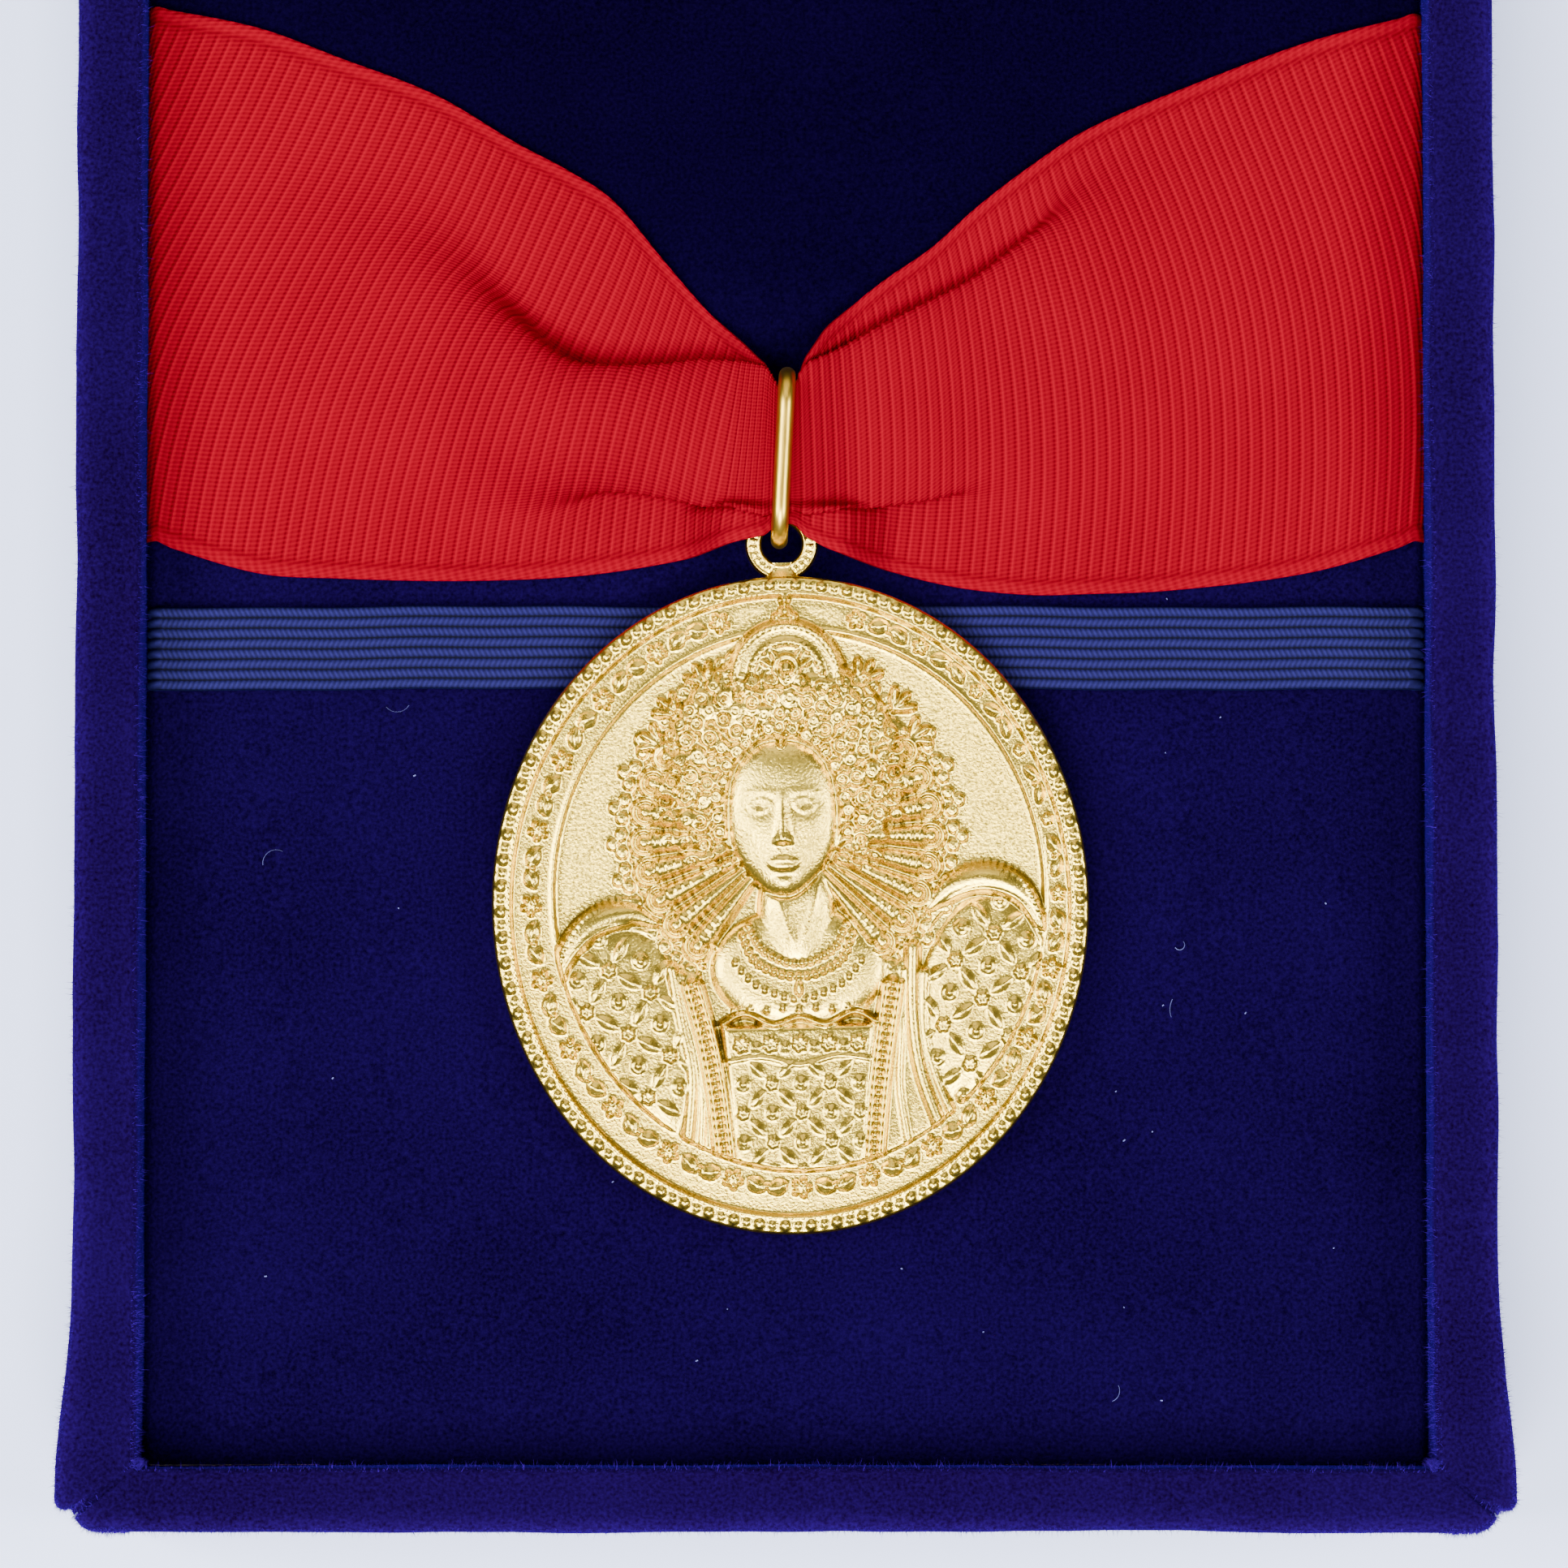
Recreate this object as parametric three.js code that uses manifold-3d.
// A cased medal: a velvet case with a hinged lid, a velvet pad, and a gilt medal that hangs
// by a long jump ring from a gathered ribbon. Millimetres, +Z up, +X right, +Y to the hinges.
// The origin is the middle of the base's underside. The lid stands open, as in use.
import * as THREE from 'three';
import { mergeVertices } from 'three/addons/utils/BufferGeometryUtils.js';
import Module from 'manifold-3d';

const wasm = await Module();
wasm.setup();

// Driving dimensions of the case
const caseWidth = 100;
const caseDepth = 130;
const baseHeight = 22;
const lidHeight = 12;
const boardThick = 2.6;
const panelThick = 2;
const velvetThick = 0.8;
const liningThick = 0.5;
const liningInset = 2.5;
const glueGap = 0.2;
const slipGap = 0.3;
const closedGap = 0.3;
const openAngle = 90;
const cornerRadius = 2.6;
const innerCornerRadius = 0.8;
const cornerFlare = 1.2;
const flareReach = 15;
const rimCrown = 1.3;
const hemDepth = 11.5;
const lidHemDepth = 7.5;
const lidEdgeRound = 1.4;

// Driving dimensions of the pad and its strap
const recessDepth = 5;
const padGap = 1.2;
const padCrown = 1.2;
const padEdgeRound = 1.8;
const padSideDraw = 0.35;
const foamThick = 3.6;
const riserWidth = 6;
const strapWidth = 6;
const strapThick = 0.8;
const strapCentreY = -2.7;
const strapEase = 0.3;

// Driving dimensions of the ribbon
const ribbonWidth = 38;
const ribbonThick = 0.35;
const ribbonPly = 0.5;
const ribbonTail = 11;
const ribbonCentreY = 24.2;
const ribbonRise = 2.1;
const ribbonEase = 0.3;
const pleatFull = 9.5;
const pleatLeast = 2;

// Driving dimensions of the jump ring and the medal
const ringLength = 12.9;
const ringHeight = 5.6;
const ringWire = 1.2;
const ringCentreX = -0.15;
const ringCentreY = 10.55;
const ringTurn = -2.8;
const waistReach = 2.2;
const medalWide = 42;
const medalLong = 46.3;
const medalThick = 3;
const medalTurn = 1.4;
const rimWide = 1.3;
const bandWide = 2.9;
const bandDrop = 0.8;
const lineWide = 0.6;
const lineDrop = 0.4;
const fieldDrop = 1.2;
const backRound = 0.6;
const loopOuter = 5.17;
const loopWire = 1.17;
const loopSunk = 0.25;
const loopSlack = 0.45;
const neckWide = 3;
const restGap = 0.15;
const bustHeight = 2.1;

// Driving dimensions of the hinges
const hingeSpread = 56;
const leafWide = 14;
const leafTall = 6.7;
const leafThick = 0.6;
const knuckleRadius = 1.2;
const boreRadius = 0.7;
const pinRadius = 0.6;
const pinProud = 0.3;
const knuckleGap = 0.25;
const stopReach = 3;
const nailSpread = 8;
const nailHead = 1.1;
const nailHeadTall = 0.6;
const nailShank = 0.42;
const nailLength = 4.2;
const nailHoleGap = 0.15;
const nailLine = 3.4;

// Driving dimensions of the lid's lining
const cardThick = 1;
const liningPadThick = 3;
const liningPadCrown = 1.4;
const liningPadGap = 0.5;

// Counts, and the overrun that every cut shares
const cornerSteps = 3;
const roundSteps = 20;
const smallSteps = 12;
const ovalSteps = 40;
const overrun = 1;

// Places that follow from the sizes
const rimTop = baseHeight;
const skin = velvetThick + glueGap;
const wallThick = 2 * skin + boardThick;
const boardLow = liningThick + glueGap;
const boardTop = boardLow + panelThick;
const wallLow = boardTop + glueGap;
const wallTop = rimTop - skin;
const padTop = rimTop - recessDepth;
const padHalfX = caseWidth / 2 - wallThick - padGap;
const padHalfY = caseDepth / 2 - wallThick - padGap;
const foamTop = padTop - skin;
const foamLow = foamTop - foamThick;
const insertTop = foamLow - glueGap;
const insertLow = insertTop - panelThick;
const riserTop = insertLow - slipGap;
const lidRim = rimTop + closedGap;
const lidTop = lidRim + lidHeight;
const hingeY = caseDepth / 2 + glueGap + knuckleRadius;
const hingeZ = rimTop + closedGap / 2;
const ringBend = (ringHeight - ringWire) / 2;
const ringZ = padTop + slipGap + ringHeight / 2;
const barY = ringCentreY - ringLength / 2 + ringWire / 2 + ringBend;
const barX = ringCentreX + (ringCentreY - barY) * Math.tan(THREE.MathUtils.degToRad(ringTurn));
const loopRadius = (loopOuter - loopWire) / 2;
const loopY = medalLong / 2 + loopOuter / 2 - loopSunk;

// The medal leans from the strap's near edge down to the pad under its foot, and its loop's
// height above its back follows from that
const strapTop = padTop + strapEase + strapThick;
const strapNearY = strapCentreY - strapWidth / 2;
const hangLength = loopY + loopRadius + loopSlack;
const footY = barY - (hangLength + medalLong / 2);
const leanSlope = (strapTop - padHeight(0, footY)) / (strapNearY - footY);
const medalLean = Math.atan(leanSlope);
const loopRise = ringZ - (strapTop + restGap + (barY - strapNearY) * leanSlope);

const looks = {
  velvet: { color: 0x160f68, roughness: 0.95, metalness: 0 },
  board: { color: 0xb9ad93, roughness: 0.9, metalness: 0 },
  paper: { color: 0x1b1a3a, roughness: 0.8, metalness: 0 },
  foam: { color: 0xe8e2d0, roughness: 1, metalness: 0 },
  elastic: { color: 0x2f3d80, roughness: 0.8, metalness: 0 },
  ribbon: { color: 0xc01d28, roughness: 0.6, metalness: 0 },
  gilt: { color: 0xdcc998, roughness: 0.35, metalness: 1 },
  brass: { color: 0xc9b25c, roughness: 0.35, metalness: 1 },
  satin: { color: 0xefeae0, roughness: 0.4, metalness: 0 },
};

function geometryOf(points, faces) {
  let volume = 0;
  for (const [a, b, c] of faces) {
    volume += new THREE.Vector3(...points[b]).cross(new THREE.Vector3(...points[c]))
      .dot(new THREE.Vector3(...points[a]));
  }
  const outward = volume > 0;
  const geometry = new THREE.BufferGeometry();
  geometry.setAttribute('position', new THREE.Float32BufferAttribute(points.flat(), 3));
  geometry.setIndex(faces.flatMap(([a, b, c]) => (outward ? [a, b, c] : [a, c, b])));
  return geometry;
}

// Rings of points joined one to the next. A closed chain meets itself, and an open one is
// shut by a fan at each end.
function ringSolid(rings, closed = false) {
  const around = rings[0].length;
  const points = rings.flat();
  const faces = [];
  const joins = closed ? rings.length : rings.length - 1;
  for (let i = 0; i < joins; i += 1) {
    const next = ((i + 1) % rings.length) * around;
    for (let k = 0; k < around; k += 1) {
      const here = i * around + k;
      const beside = i * around + ((k + 1) % around);
      const over = next + k;
      const across = next + ((k + 1) % around);
      faces.push([here, beside, across], [here, across, over]);
    }
  }
  if (!closed) {
    for (const [first, flip] of [[0, true], [(rings.length - 1) * around, false]]) {
      const middle = [0, 0, 0];
      for (let k = 0; k < around; k += 1) {
        for (let axis = 0; axis < 3; axis += 1) middle[axis] += points[first + k][axis] / around;
      }
      points.push(middle);
      for (let k = 0; k < around; k += 1) {
        const pair = [first + k, first + ((k + 1) % around)];
        faces.push(flip ? [points.length - 1, pair[1], pair[0]] : [points.length - 1, ...pair]);
      }
    }
  }
  return geometryOf(points, faces);
}

// A cloth given by two grids of points, its upper and its lower face
function clothSolid(upper, lower) {
  const rows = upper.length;
  const across = upper[0].length;
  const points = [...upper.flat(), ...lower.flat()];
  const under = rows * across;
  const faces = [];
  const quad = (a, b, c, d) => faces.push([a, b, c], [a, c, d]);
  for (let i = 0; i + 1 < rows; i += 1) {
    for (let k = 0; k + 1 < across; k += 1) {
      const a = i * across + k;
      quad(a, a + 1, a + across + 1, a + across);
      quad(under + a + across, under + a + across + 1, under + a + 1, under + a);
    }
    for (const [k, flip] of [[0, false], [across - 1, true]]) {
      const a = i * across + k;
      if (flip) quad(a + across, a, under + a, under + a + across);
      else quad(a, a + across, under + a + across, under + a);
    }
  }
  for (const [i, flip] of [[0, true], [rows - 1, false]]) {
    for (let k = 0; k + 1 < across; k += 1) {
      const a = i * across + k;
      if (flip) quad(a + 1, a, under + a, under + a + 1);
      else quad(a, a + 1, under + a + 1, under + a);
    }
  }
  return geometryOf(points, faces);
}

function solidFrom(geometry) {
  const bare = geometry.clone();
  bare.deleteAttribute('normal');
  bare.deleteAttribute('uv');
  const merged = mergeVertices(bare);
  return new wasm.Manifold(new wasm.Mesh({
    numProp: 3,
    vertProperties: new Float32Array(merged.attributes.position.array),
    triVerts: new Uint32Array(merged.index.array),
  }));
}

function geometryFrom(solid) {
  const mesh = solid.getMesh();
  const geometry = new THREE.BufferGeometry();
  const count = mesh.vertProperties.length / mesh.numProp;
  const position = new Float32Array(count * 3);
  for (let i = 0; i < count; i += 1) {
    for (let axis = 0; axis < 3; axis += 1) {
      position[3 * i + axis] = mesh.vertProperties[mesh.numProp * i + axis];
    }
  }
  geometry.setAttribute('position', new THREE.BufferAttribute(position, 3));
  geometry.setIndex(new THREE.BufferAttribute(new Uint32Array(mesh.triVerts), 1));
  return geometry;
}

function joined(...geometries) {
  return geometryFrom(geometries.map(solidFrom).reduce((whole, next) => whole.add(next)));
}

function cut(geometry, ...tools) {
  return geometryFrom(tools.map(solidFrom).reduce((whole, tool) => whole.subtract(tool),
    solidFrom(geometry)));
}

function trimmed(geometry, shape) {
  return geometryFrom(solidFrom(geometry).intersect(solidFrom(shape)));
}

function piece(name, geometry, look) {
  const mesh = new THREE.Mesh(geometry, new THREE.MeshStandardMaterial(looks[look]));
  mesh.name = name;
  return mesh;
}

// A block between two corners
function block(low, high) {
  const size = high.map((value, axis) => value - low[axis]);
  const middle = high.map((value, axis) => (value + low[axis]) / 2);
  return new THREE.BoxGeometry(...size).translate(...middle);
}

function smooth(share) {
  const t = Math.min(Math.max(share, 0), 1);
  return t * t * (3 - 2 * t);
}

function mixed(a, b, share) {
  return a + (b - a) * share;
}

// The case's outline in plan, counter-clockwise, with corner arcs. The folded velvet makes
// the side walls flare beside each corner and step in at it.
const sideShares = [0, 0.06, 0.12, 0.88, 0.94, 1];
function outline(halfX, halfY, radius, flare = 0) {
  const points = [];
  const flared = (y) => flare * smooth(1 - (halfY - radius - Math.abs(y)) / flareReach);
  const straight = (from, to) => {
    for (const share of sideShares) {
      const x = mixed(from[0], to[0], share);
      const y = mixed(from[1], to[1], share);
      const isSide = from[0] === to[0];
      points.push([isSide ? x + Math.sign(x) * flared(y) : x, y]);
    }
  };
  const arc = (signX, signY, startAngle) => {
    for (let k = 0; k < cornerSteps; k += 1) {
      const angle = startAngle + ((k + 1 / 2) / cornerSteps) * (Math.PI / 2);
      points.push([signX * (halfX - radius) + radius * Math.cos(angle),
        signY * (halfY - radius) + radius * Math.sin(angle)]);
    }
  };
  const x = halfX;
  const y = halfY;
  straight([x, -(y - radius)], [x, y - radius]);
  arc(1, 1, 0);
  straight([x - radius, y], [-(x - radius), y]);
  arc(-1, 1, Math.PI / 2);
  straight([-x, y - radius], [-x, -(y - radius)]);
  arc(-1, -1, Math.PI);
  straight([-(x - radius), -y], [x - radius, -y]);
  arc(1, -1, -Math.PI / 2);
  return points;
}

function atHeight(plan, z) {
  return plan.map(([x, y]) => [x, y, z]);
}

function between(planA, planB, share, z) {
  return planA.map(([x, y], k) => [mixed(x, planB[k][0], share), mixed(y, planB[k][1], share), z]);
}

const coverPlans = (() => {
  const halfX = caseWidth / 2;
  const halfY = caseDepth / 2;
  return {
    outer: outline(halfX, halfY, cornerRadius, cornerFlare),
    boardOuter: outline(halfX - velvetThick, halfY - velvetThick, cornerRadius - velvetThick),
    boardInner: outline(halfX - wallThick + velvetThick, halfY - wallThick + velvetThick,
      innerCornerRadius + velvetThick),
    inner: outline(halfX - wallThick, halfY - wallThick, innerCornerRadius),
  };
})();

// The rounded velvet over a rim, from the outer face to the inner one
const rimShares = [0, 0.06, 0.2, 0.5, 0.8, 0.94, 1];
function rimRings(top, up) {
  return rimShares.map((share) => {
    const drop = rimCrown * Math.abs(2 * share - 1) ** 4;
    return between(coverPlans.outer, coverPlans.inner, share, top - up * drop);
  });
}

function baseCover() {
  const { boardOuter, boardInner, outer, inner } = coverPlans;
  const under = rimTop - velvetThick;
  return ringSolid([
    atHeight(outer, liningThick),
    ...rimRings(rimTop, 1),
    atHeight(inner, rimTop - hemDepth),
    atHeight(boardInner, rimTop - hemDepth),
    atHeight(boardInner, under),
    atHeight(boardOuter, under),
    atHeight(boardOuter, liningThick),
  ], true);
}

function lidCover() {
  const { boardOuter, boardInner, outer, inner } = coverPlans;
  const under = lidRim + velvetThick;
  const inset = outline(caseWidth / 2 - lidEdgeRound, caseDepth / 2 - lidEdgeRound, cornerRadius);
  return ringSolid([
    atHeight(inset, lidTop),
    between(outer, inset, 1 / 3, lidTop - lidEdgeRound / 3),
    atHeight(outer, lidTop - lidEdgeRound),
    ...rimRings(lidRim, -1),
    atHeight(inner, lidRim + lidHemDepth),
    atHeight(boardInner, lidRim + lidHemDepth),
    atHeight(boardInner, under),
    atHeight(boardOuter, under),
    atHeight(boardOuter, lidTop - velvetThick),
  ]);
}

// Rings of a crowned pad's surface, from its hem up over the edge to the middle. The sides
// swell between the hem and the edge, and each ring lies `inside` under the velvet's face.
const padRingShares = [0.04, 0.12, 0.26, 0.5, 0.9];
function padRings(halfX, halfY, low, top, crown, round, draw, inside = 0) {
  const rings = [];
  const ring = (inset, z) => {
    const radius = Math.max(cornerRadius - inset / 3, innerCornerRadius);
    rings.push(atHeight(outline(halfX - inside - inset, halfY - inside - inset, radius), z));
  };
  const edge = top - inside - crown;
  ring(draw, low);
  ring(0, mixed(low, edge - round, 1 / 2));
  ring(draw / 2, edge - round);
  ring(round / 3, edge - round / 4);
  for (const share of padRingShares) {
    const inset = mixed(round, halfX - inside, share);
    ring(inset, edge + crown * (1 - (1 - share) ** 3));
  }
  return rings;
}

function padCover() {
  const sizes = [padCrown, padEdgeRound, padSideDraw];
  const outside = padRings(padHalfX, padHalfY, insertLow, padTop, ...sizes);
  const inside = padRings(padHalfX, padHalfY, insertLow, padTop, ...sizes, velvetThick);
  return ringSolid([...outside.reverse(), ...inside]);
}

function padFoam() {
  return ringSolid(padRings(padHalfX, padHalfY, foamLow, padTop, padCrown, padEdgeRound,
    padSideDraw, skin));
}

// The height of the pad's velvet at a place in plan
function padHeight(x, y) {
  const inset = Math.min(padHalfX - Math.abs(x), padHalfY - Math.abs(y));
  const share = (inset - padEdgeRound) / (padHalfX - padEdgeRound);
  return padTop - padCrown * (1 - Math.min(Math.max(share, 0), 1)) ** 3;
}

// The elastic strap: a flat loop over the pad, down both sides and under the insert board
const strapTopShares = [0.96, 0.9, 0.75, 0.5, 0.25, 0, -0.25, -0.5, -0.75, -0.9, -0.96];
function strap() {
  const side = padHalfX + strapEase;
  const low = insertLow - strapEase;
  const edge = padTop - padCrown;
  const turn = padEdgeRound / 3;
  const bend = [side - turn, edge - padEdgeRound / 4 + strapEase];
  const route = [[side, low], [side, edge - padEdgeRound], bend];
  for (const share of strapTopShares) {
    const x = share * padHalfX;
    route.push([x, padHeight(x, strapCentreY) + strapEase]);
  }
  route.push([-bend[0], bend[1]], [-side, edge - padEdgeRound], [-side, low]);
  const rings = route.map(([x, z], k) => {
    const before = route[(k + route.length - 1) % route.length];
    const after = route[(k + 1) % route.length];
    const along = new THREE.Vector2(after[0] - before[0], after[1] - before[1]).normalize();
    const thick = strapThick * (z === low ? Math.SQRT2 : 1);
    const [outX, outZ] = [x + along.y * thick, z - along.x * thick];
    const [near, far] = [strapCentreY - strapWidth / 2, strapCentreY + strapWidth / 2];
    return [[x, near, z], [outX, near, outZ], [outX, far, outZ], [x, far, z]];
  });
  return ringSolid(rings, true);
}

// The ribbon's edges and pleats on each side of the ring, seen from above, as shares of the
// pad's half width and of the ribbon's width about its middle. Each row is a station: its
// distance from the ring, the upper selvedge, the upper and lower pleat, the lower selvedge.
const leftShares = [
  [0, -0.19, -0.185, -0.462, -0.489],
  [0.03, -0.196, -0.18, -0.466, -0.497],
  [0.14, -0.084, -0.164, -0.44, -0.528],
  [0.27, 0.09, -0.16, -0.43, -0.55],
  [0.42, 0.237, -0.02, -0.424, -0.582],
  [0.55, 0.32, 0.06, -0.42, -0.58],
  [0.83, 0.458, 0.2, -0.3, -0.566],
  [1, 0.5, 0.2, -0.3, -0.505],
];
const rightShares = [
  [0, -0.16, -0.174, -0.463, -0.492],
  [0.04, -0.16, -0.174, -0.463, -0.497],
  [0.17, -0.02, -0.07, -0.437, -0.566],
  [0.3, 0.126, 0.03, -0.416, -0.6],
  [0.47, 0.26, 0.13, -0.4, -0.608],
  [0.6, 0.32, 0.2, -0.36, -0.6],
  [0.82, 0.43, 0.25, -0.3, -0.566],
  [1, 0.487, 0.25, -0.3, -0.505],
];

// A smooth value between the rows of a table at a station
function tableAt(table, station, column) {
  let k = 0;
  while (k + 2 < table.length && table[k + 1][0] <= station) k += 1;
  const slope = (i) => {
    const a = table[Math.max(i - 1, 0)];
    const b = table[Math.min(i + 1, table.length - 1)];
    return (b[column] - a[column]) / (b[0] - a[0]);
  };
  const [from, to] = [table[k], table[k + 1]];
  const span = to[0] - from[0];
  const t = Math.min(Math.max((station - from[0]) / span, 0), 1);
  const rise = t * t * (3 - 2 * t);
  const lead = span * slope(k) * (t ** 3 - 2 * t ** 2 + t);
  const trail = span * slope(k + 1) * (t ** 3 - t ** 2);
  return mixed(from[column], to[column], rise) + lead + trail;
}

// One section across the ribbon, as places [y, layer height]. The upper panel runs under the
// middle one and folds back to it, and the lower panel does the same from the other side.
const stepShares = [[0, 0.5, 1], [0.5], [0, 1], [0.5], [0, 0.5, 1], [0.5], [0, 1], [0.5],
  [0, 0.5, 1]];
function ribbonSection(table, station) {
  const place = (column) => ribbonCentreY + ribbonWidth * tableAt(table, station, column);
  const [top, upper, lower, bottom] = [1, 2, 3, 4].map(place);
  const spare = Math.max(ribbonWidth - (top - bottom), pleatLeast);
  const turn = Math.PI * smooth(spare / pleatFull);
  const tight = ribbonPly / 2;
  const wide = 3 * tight;
  const depth = (spare - turn * (3 * tight + wide)) / 4;
  const runs = [
    [top - upper + depth, 0], [turn * tight, turn], [depth, 0], [turn * tight, -turn],
    [upper - lower, 0], [turn * wide, -turn], [depth, 0], [turn * tight, turn],
    [lower - bottom + depth, 0],
  ];
  const places = [];
  let [y, lift, heading] = [0, 0, 0];
  runs.forEach(([length, bend], k) => {
    const at = (share) => {
      const half = (bend * share) / 2;
      const reach = length * share * (half ? Math.sin(half) / half : 1);
      return [y - reach * Math.cos(heading + half), lift + reach * Math.sin(heading + half)];
    };
    for (const share of stepShares[k]) places.push(at(share));
    [y, lift] = at(1);
    heading += bend;
  });
  const stretch = (bottom - top) / y;
  const stack = (turn / Math.PI) * (2 * tight + wide - tight);
  return places.map(([across, up]) => [top + across * stretch, up, stack]);
}

// The ribbon's middle surface, station by station: gathered in the ring, over the pad's edges
// and down beside the pad
const stationShares = [0.92, 0.78, 0.62, 0.48, 0.36, 0.26, 0.17, 0.11, 0.08, 0.045, 0];
function ribbonRows() {
  const reach = padHalfX + slipGap + ribbonThick / 2;
  const waistLow = barY - loopSlack + loopWire / 2 + slipGap;
  const waistHigh = ringCentreY + ringLength / 2 - ringWire - slipGap;
  const row = (sign, station) => {
    const table = sign < 0 ? leftShares : rightShares;
    const section = ribbonSection(table, station);
    const away = station * reach;
    const fall = smooth(away / ringLength);
    const squeeze = 1 - smooth((away - waistReach) / waistReach);
    const ys = section.map(([y]) => y);
    const [low, high] = [Math.min(...ys), Math.max(...ys)];
    return section.map(([y, up, stack]) => {
      const across = (y - low) / (high - low);
      const arch = Math.sin(Math.PI * across) * (1 - smooth(station));
      const ease = ribbonEase + ribbonThick / 2;
      const flat = padHeight(Math.min(away, padHalfX), y) + ease + stack + ribbonRise * arch;
      const waistY = mixed(waistLow + ribbonThick / 2, waistHigh - ribbonThick / 2, across);
      return [sign * away, mixed(y, waistY, squeeze), mixed(ringZ, flat, fall) + up];
    });
  };
  const edge = padTop - padCrown;
  const tailPlaces = [
    [reach - padEdgeRound / 3, edge - padEdgeRound / 4 + ribbonEase + ribbonThick / 2, 1],
    [reach, edge - padEdgeRound, 1 / 2],
    [reach, edge - padEdgeRound - ribbonTail / 2, 0],
    [reach, edge - padEdgeRound - ribbonTail, 0],
  ];
  const tail = (sign, [x, z, share]) => {
    const ups = row(sign, 1).map((place) => place[2]);
    const least = Math.min(...ups);
    return row(sign, 1).map(([, y], k) => [sign * x, y, z + (ups[k] - least) * share]);
  };
  const rows = [...tailPlaces].reverse().map((place) => tail(-1, place));
  for (const station of stationShares) rows.push(row(-1, station));
  for (const station of [...stationShares].reverse().slice(1)) rows.push(row(1, station));
  rows.push(...tailPlaces.map((place) => tail(1, place)));
  return rows;
}

function ribbon() {
  const rows = ribbonRows();
  const vector = (i, k) => new THREE.Vector3(...rows[i][k]);
  const faces = [1, -1].map((side) => rows.map((row, i) => row.map((_, k) => {
    const along = vector(Math.min(i + 1, rows.length - 1), k).sub(vector(Math.max(i - 1, 0), k));
    const over = vector(i, Math.min(k + 1, row.length - 1)).sub(vector(i, Math.max(k - 1, 0)));
    const out = along.cross(over).normalize().multiplyScalar((side * ribbonThick) / 2);
    return vector(i, k).add(out).toArray();
  })));
  return clothSolid(...faces);
}

// The jump ring: a long link of round wire, standing on edge through the gathered ribbon
function jumpRing() {
  const straight = ringLength / 2 - ringWire / 2 - ringBend;
  const route = [];
  for (const [end, start] of [[1, -Math.PI / 2], [-1, Math.PI / 2]]) {
    for (let k = 0; k <= smallSteps; k += 1) {
      const angle = start + (k / smallSteps) * Math.PI;
      route.push([end * straight + ringBend * Math.cos(angle), ringBend * Math.sin(angle), angle]);
    }
  }
  const rings = route.map(([y, z, angle]) => {
    const ring = [];
    for (let k = 0; k < smallSteps; k += 1) {
      const around = (k / smallSteps) * 2 * Math.PI;
      const out = (ringWire / 2) * Math.cos(around);
      ring.push([(ringWire / 2) * Math.sin(around), y + out * Math.cos(angle),
        z + out * Math.sin(angle)]);
    }
    return ring;
  });
  return ringSolid(rings, true);
}

// The medal in its own frame: the middle of its flat back at the origin, its face up
function oval(inset, z) {
  const ring = [];
  for (let k = 0; k < ovalSteps; k += 1) {
    const angle = (k / ovalSteps) * 2 * Math.PI;
    ring.push([(medalWide / 2 - inset) * Math.cos(angle), (medalLong / 2 - inset) * Math.sin(angle),
      z]);
  }
  return ring;
}

function medalPlate() {
  const band = rimWide + bandWide;
  const field = band + lineWide;
  return ringSolid([
    oval(backRound, 0), oval(0, backRound), oval(0, medalThick - backRound),
    oval(rimWide / 4, medalThick), oval(rimWide * 3 / 4, medalThick),
    oval(rimWide, medalThick - bandDrop), oval(band, medalThick - bandDrop),
    oval(band + lineWide / 3, medalThick - lineDrop),
    oval(band + lineWide * 2 / 3, medalThick - lineDrop), oval(field, medalThick - fieldDrop),
  ]);
}

function medalLoop() {
  const rings = [];
  for (let i = 0; i < roundSteps; i += 1) {
    const turn = (i / roundSteps) * 2 * Math.PI;
    const ring = [];
    for (let k = 0; k < smallSteps; k += 1) {
      const around = (k / smallSteps) * 2 * Math.PI;
      const out = loopRadius + (loopWire / 2) * Math.cos(around);
      ring.push([out * Math.sin(turn), loopY - out * Math.cos(turn),
        loopRise + (loopWire / 2) * Math.sin(around)]);
    }
    rings.push(ring);
  }
  return ringSolid(rings, true);
}

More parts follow.
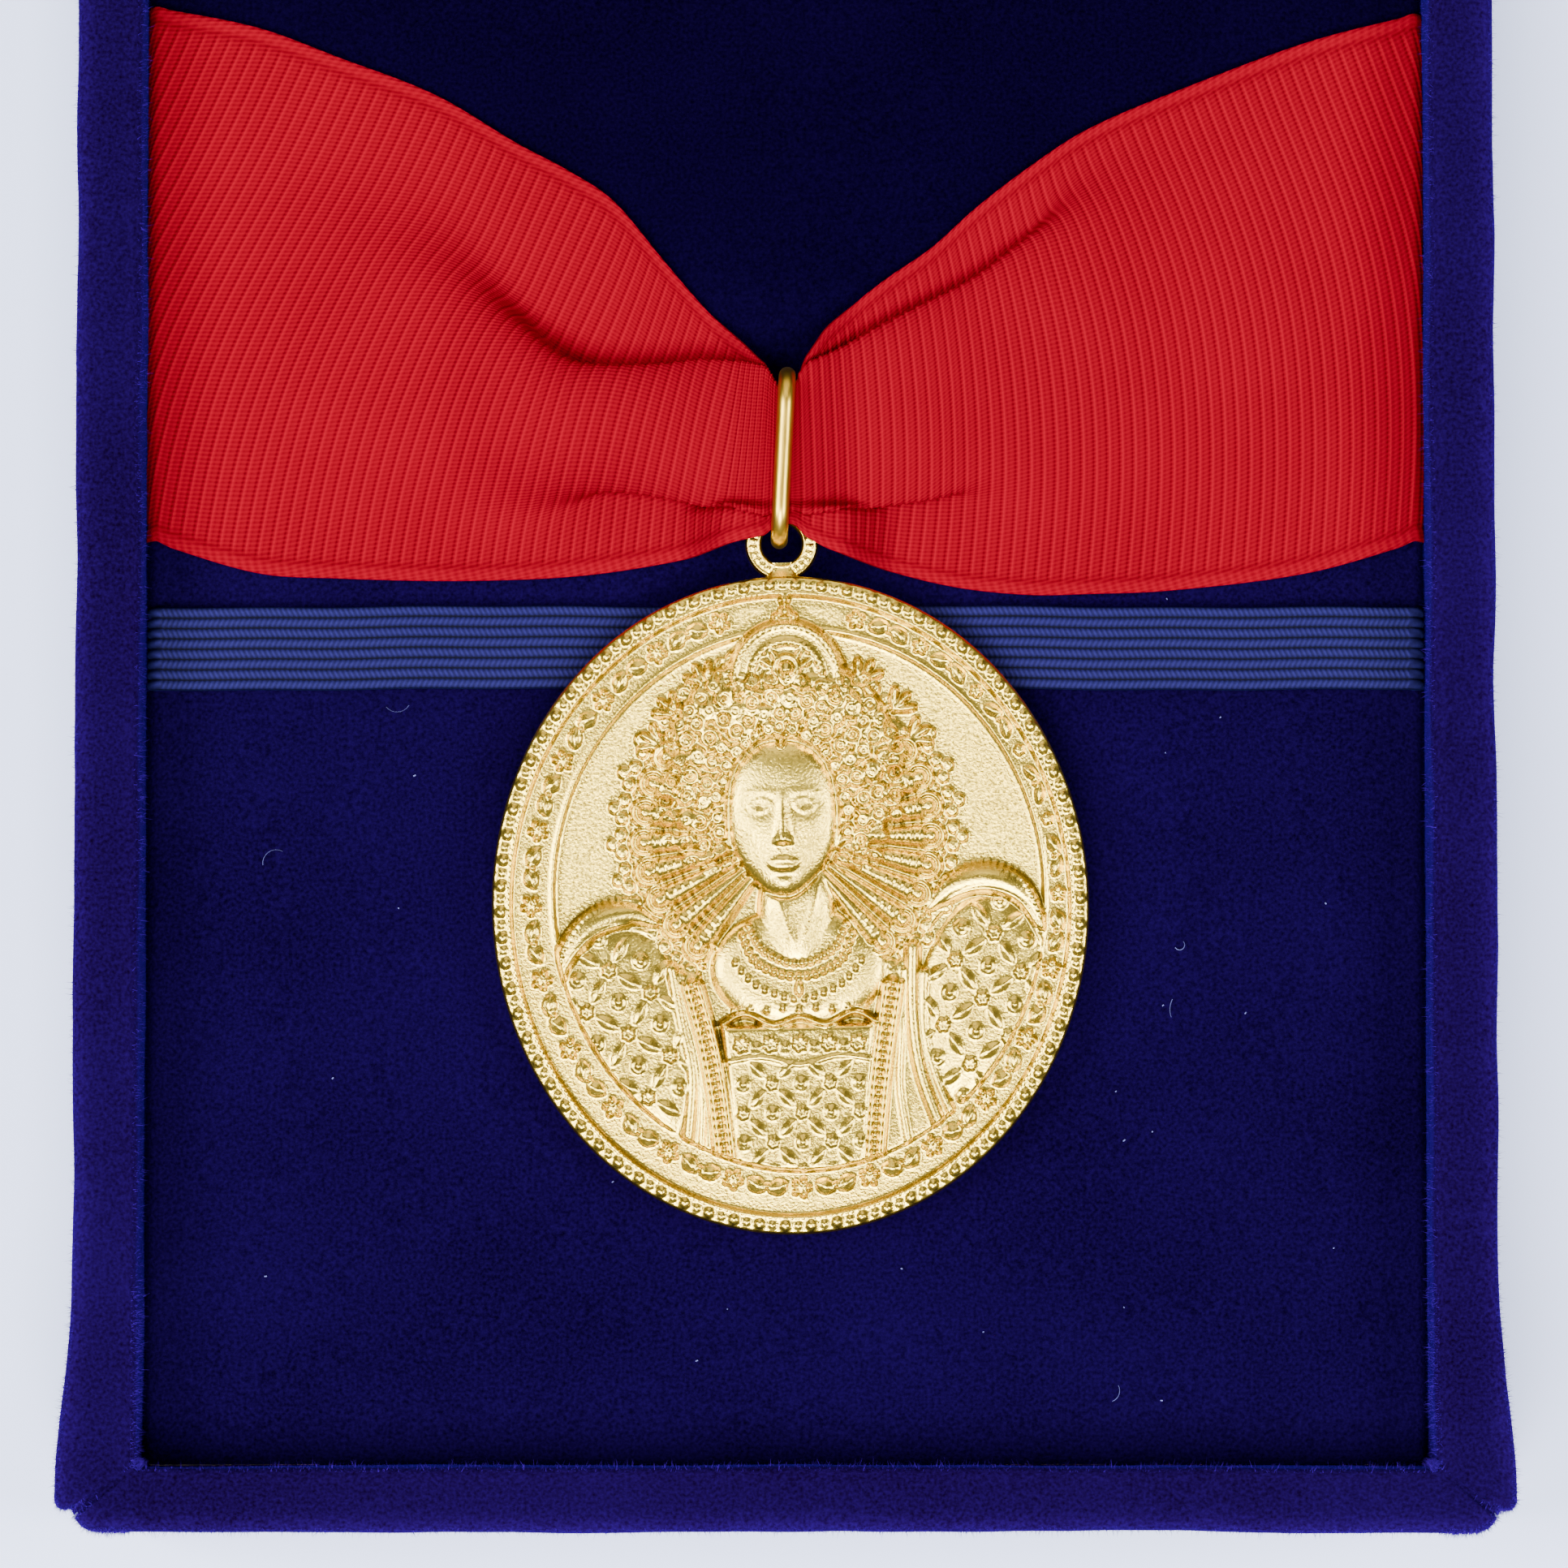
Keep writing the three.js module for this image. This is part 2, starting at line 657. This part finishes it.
// The bust's main masses, each a flattened ball standing on the field: its middle and half
// sizes in plan as shares of the oval's, its height as a share of the relief, and its turn.
// They are the sleeves, the skirt, the shoulders, the ruff, the hair, the coronet and the head.
const bustShares = [
  [-0.54, -0.38, 0.25, 0.34, 0.5, 0.28],
  [0.62, -0.3, 0.22, 0.33, 0.5, -0.21],
  [0.02, -0.58, 0.36, 0.34, 0.45, 0],
  [0.02, -0.19, 0.36, 0.22, 0.5, 0],
  [0, 0.2, 0.56, 0.45, 0.45, 0],
  [-0.01, 0.45, 0.39, 0.33, 0.75, 0],
  [0, 0.68, 0.2, 0.16, 0.9, 0],
  [-0.02, 0.265, 0.19, 0.245, 1, 0],
];
function bustMasses() {
  const field = medalThick - fieldDrop;
  const reach = rimWide + bandWide + lineWide / 2;
  const inside = ringSolid([oval(reach, field - fieldDrop), oval(reach, field + 2 * bustHeight)]);
  return bustShares.map(([x, y, halfX, halfY, tall, turn]) => {
    const ball = new THREE.SphereGeometry(1, smallSteps, smallSteps / 2);
    ball.rotateX(Math.PI / 2);
    const place = ball.attributes.position;
    for (let i = 0; i < place.count; i += 1) {
      const z = place.getZ(i);
      place.setZ(i, z * (z < 0 ? fieldDrop / 2 : fieldDrop / 2 + bustHeight * tall));
    }
    ball.scale((halfX * medalWide) / 2, (halfY * medalLong) / 2, 1);
    ball.rotateZ(turn);
    ball.translate((x * medalWide) / 2, (y * medalLong) / 2, field - fieldDrop / 2);
    return trimmed(ball, inside);
  });
}

// The neck that joins the loop to the plate's edge
function medalNeck() {
  const tall = loopWire / 3;
  return block([-neckWide / 2, medalLong / 2 - rimWide, loopRise - tall],
    [neckWide / 2, loopY - loopRadius, loopRise + tall]);
}

function medal() {
  return joined(medalPlate(), medalLoop(), medalNeck(), ...bustMasses());
}

function rod(radius, length, steps = roundSteps) {
  return new THREE.CylinderGeometry(radius, radius, length, steps);
}

const hingeMiddles = [-hingeSpread / 2, hingeSpread / 2];
const knuckleWide = leafWide / 3;

function barrel(x, wide, radius) {
  return rod(radius, wide).rotateZ(Math.PI / 2).translate(x, hingeY, hingeZ);
}

// Holes for the two nails of a leaf, through everything that lies behind it
function nailPlaces(x, up) {
  const z = hingeZ + up * (knuckleRadius + nailLine);
  return [-nailSpread / 2, nailSpread / 2].map((side) => [x + side, z]);
}

function nailHoles(up) {
  const long = nailLength + leafThick + overrun;
  return hingeMiddles.flatMap((middle) => nailPlaces(middle, up)).map(([x, z]) => (
    rod(nailShank + nailHoleGap, long, smallSteps)
      .translate(x, caseDepth / 2 + glueGap + leafThick + overrun - long / 2, z)));
}

// One leaf of a hinge: its plate, its knuckles and, on the base, the two tabs that stop the lid
function leaf(x, up) {
  const back = caseDepth / 2 + glueGap;
  const near = hingeZ + up * (knuckleRadius - leafThick);
  const far = hingeZ + up * (knuckleRadius + leafTall);
  const plate = block([x - leafWide / 2, back, Math.min(near, far)],
    [x + leafWide / 2, back + leafThick, Math.max(near, far)]);
  const outer = [-knuckleWide, knuckleWide].map((side) => x + side);
  const own = up > 0 ? [x] : outer;
  const others = up > 0 ? outer : [x];
  const wide = knuckleWide - knuckleGap;
  const knuckles = own.map((place) => barrel(place, wide, knuckleRadius));
  const tabs = up > 0 ? [] : outer.map((place) => block(
    [place - wide / 2, hingeY, hingeZ - slipGap - leafThick],
    [place + wide / 2, hingeY + knuckleRadius + stopReach, hingeZ - slipGap]));
  const clear = others.map((place) => barrel(place, knuckleWide + knuckleGap,
    knuckleRadius + knuckleGap));
  const whole = cut(plate, ...clear);
  return cut(joined(whole, ...knuckles, ...tabs), barrel(x, leafWide + overrun, boreRadius),
    ...nailHoles(up));
}

// A nail's shank with its tapered point, and the rounded head as shares of its size
const headShares = [[1, 0], [0.9, 0.5], [0.5, 0.9], [0, 1]];
function nail() {
  const profile = [
    [0, -nailLength], [nailShank / 2, nailShank - nailLength],
    [nailShank, 2 * nailShank - nailLength], [nailShank, 0],
    ...headShares.map(([out, up]) => [out * nailHead, up * nailHeadTall]),
  ];
  return new THREE.LatheGeometry(profile.map(([r, y]) => new THREE.Vector2(r, y)), smallSteps);
}

function nails(where, up) {
  return hingeMiddles.flatMap((middle, h) => nailPlaces(middle, up).map(([x, z], n) => {
    const side = h ? 'right' : 'left';
    const mesh = piece(`${where}_hinge_nail_${side}_${n + 1}`, nail(), 'brass');
    mesh.position.set(x, caseDepth / 2 + glueGap + leafThick + glueGap, z);
    return mesh;
  }));
}

// Four wall boards on a panel or under one, the front and back ones full width
function walls(where, low, top) {
  const halfX = caseWidth / 2 - skin;
  const halfY = caseDepth / 2 - skin;
  const sideY = halfY - boardThick - glueGap;
  const rounded = panel(skin, low, top);
  const front = trimmed(block([-halfX, -halfY, low], [halfX, boardThick - halfY, top]), rounded);
  const back = trimmed(block([-halfX, halfY - boardThick, low], [halfX, halfY, top]), rounded);
  return [
    piece(`${where}_front_wall`, front, 'board'),
    piece(`${where}_back_wall`, cut(back, ...nailHoles(where === 'lid' ? 1 : -1)), 'board'),
    piece(`${where}_left_wall`, block([-halfX, -sideY, low], [boardThick - halfX, sideY, top]),
      'board'),
    piece(`${where}_right_wall`, block([halfX - boardThick, -sideY, low], [halfX, sideY, top]),
      'board'),
  ];
}

function sheet(plan, low, top) {
  return ringSolid([atHeight(plan, low), atHeight(plan, top)]);
}

// A flat board with the case's outline drawn in by an inset
function panel(inset, low, top) {
  const radius = Math.max(cornerRadius - inset, innerCornerRadius);
  return sheet(outline(caseWidth / 2 - inset, caseDepth / 2 - inset, radius), low, top);
}

function base() {
  const group = new THREE.Group();
  const halfX = caseWidth / 2 - wallThick + velvetThick;
  const riserOut = caseDepth / 2 - skin - boardThick - glueGap;
  const riserEnd = halfX - glueGap;
  group.add(
    piece('base_lining_paper', panel(liningInset, 0, liningThick), 'paper'),
    piece('base_bottom_board', panel(skin, boardLow, boardTop), 'board'),
    ...walls('base', wallLow, wallTop),
    piece('base_velvet_cover', cut(baseCover(), ...nailHoles(-1)), 'velvet'),
    piece('front_riser', block([-riserEnd, -riserOut, wallLow],
      [riserEnd, riserWidth - riserOut, riserTop]), 'board'),
    piece('back_riser', block([-riserEnd, riserOut - riserWidth, wallLow],
      [riserEnd, riserOut, riserTop]), 'board'),
    ...hingeMiddles.flatMap((x, h) => {
      const side = h ? 'right' : 'left';
      return [
        piece(`base_hinge_leaf_${side}`, leaf(x, -1), 'brass'),
        piece(`hinge_pin_${side}`, barrel(x, leafWide + 2 * pinProud, pinRadius), 'brass'),
      ];
    }),
    ...nails('base', -1),
  );
  return group;
}

function pad() {
  const group = new THREE.Group();
  const halfX = padHalfX - skin - padSideDraw;
  const halfY = padHalfY - skin - padSideDraw;
  group.add(
    piece('insert_board', sheet(outline(halfX, halfY, cornerRadius), insertLow, insertTop),
      'board'),
    piece('insert_foam', padFoam(), 'foam'),
    piece('insert_velvet', padCover(), 'velvet'),
    piece('elastic_strap', strap(), 'elastic'),
  );
  return group;
}

function medalSet() {
  const group = new THREE.Group();
  const ring = piece('jump_ring', jumpRing(), 'brass');
  ring.position.set(ringCentreX, ringCentreY, ringZ);
  ring.rotation.z = THREE.MathUtils.degToRad(ringTurn);
  const hanging = new THREE.Group();
  hanging.position.set(barX, barY, ringZ);
  hanging.rotation.x = medalLean;
  hanging.rotation.z = THREE.MathUtils.degToRad(medalTurn);
  const casting = piece('medal', medal(), 'gilt');
  casting.position.set(0, -hangLength, -loopRise);
  hanging.add(casting);
  group.add(piece('neck_ribbon', ribbon(), 'ribbon'), ring, hanging);
  return group;
}

// The lid, built shut and then swung open about its hinges
function lid() {
  const swing = new THREE.Group();
  swing.position.set(0, hingeY, hingeZ);
  swing.rotation.x = -THREE.MathUtils.degToRad(openAngle);
  const shut = new THREE.Group();
  shut.position.set(0, -hingeY, -hingeZ);
  swing.add(shut);
  const panelTop = lidTop - velvetThick - glueGap;
  const panelLow = panelTop - panelThick;
  const cardTop = panelLow - glueGap;
  const cardLow = cardTop - cardThick;
  const padHigh = cardLow - glueGap;
  const inset = wallThick + liningPadGap;
  const cushion = padRings(caseWidth / 2 - inset, caseDepth / 2 - inset, 0, liningPadThick,
    liningPadCrown, liningPadCrown / 2, padSideDraw);
  const lining = cushion.map((ring) => ring.map(([x, y, z]) => [x, y, padHigh - z]));
  shut.add(
    piece('lid_top_board', panel(skin, panelLow, panelTop), 'board'),
    ...walls('lid', lidRim + skin, panelLow - glueGap),
    piece('lid_velvet_cover', cut(lidCover(), ...nailHoles(1)), 'velvet'),
    piece('lid_lining_card', panel(inset, cardLow, cardTop), 'board'),
    piece('lid_lining_pad', ringSolid(lining), 'satin'),
    ...hingeMiddles.map((x, h) => (
      piece(`lid_hinge_leaf_${h ? 'right' : 'left'}`, leaf(x, 1), 'brass'))),
    ...nails('lid', 1),
  );
  return swing;
}

const casedMedal = new THREE.Group();
casedMedal.add(base(), pad(), medalSet(), lid());

export default casedMedal;
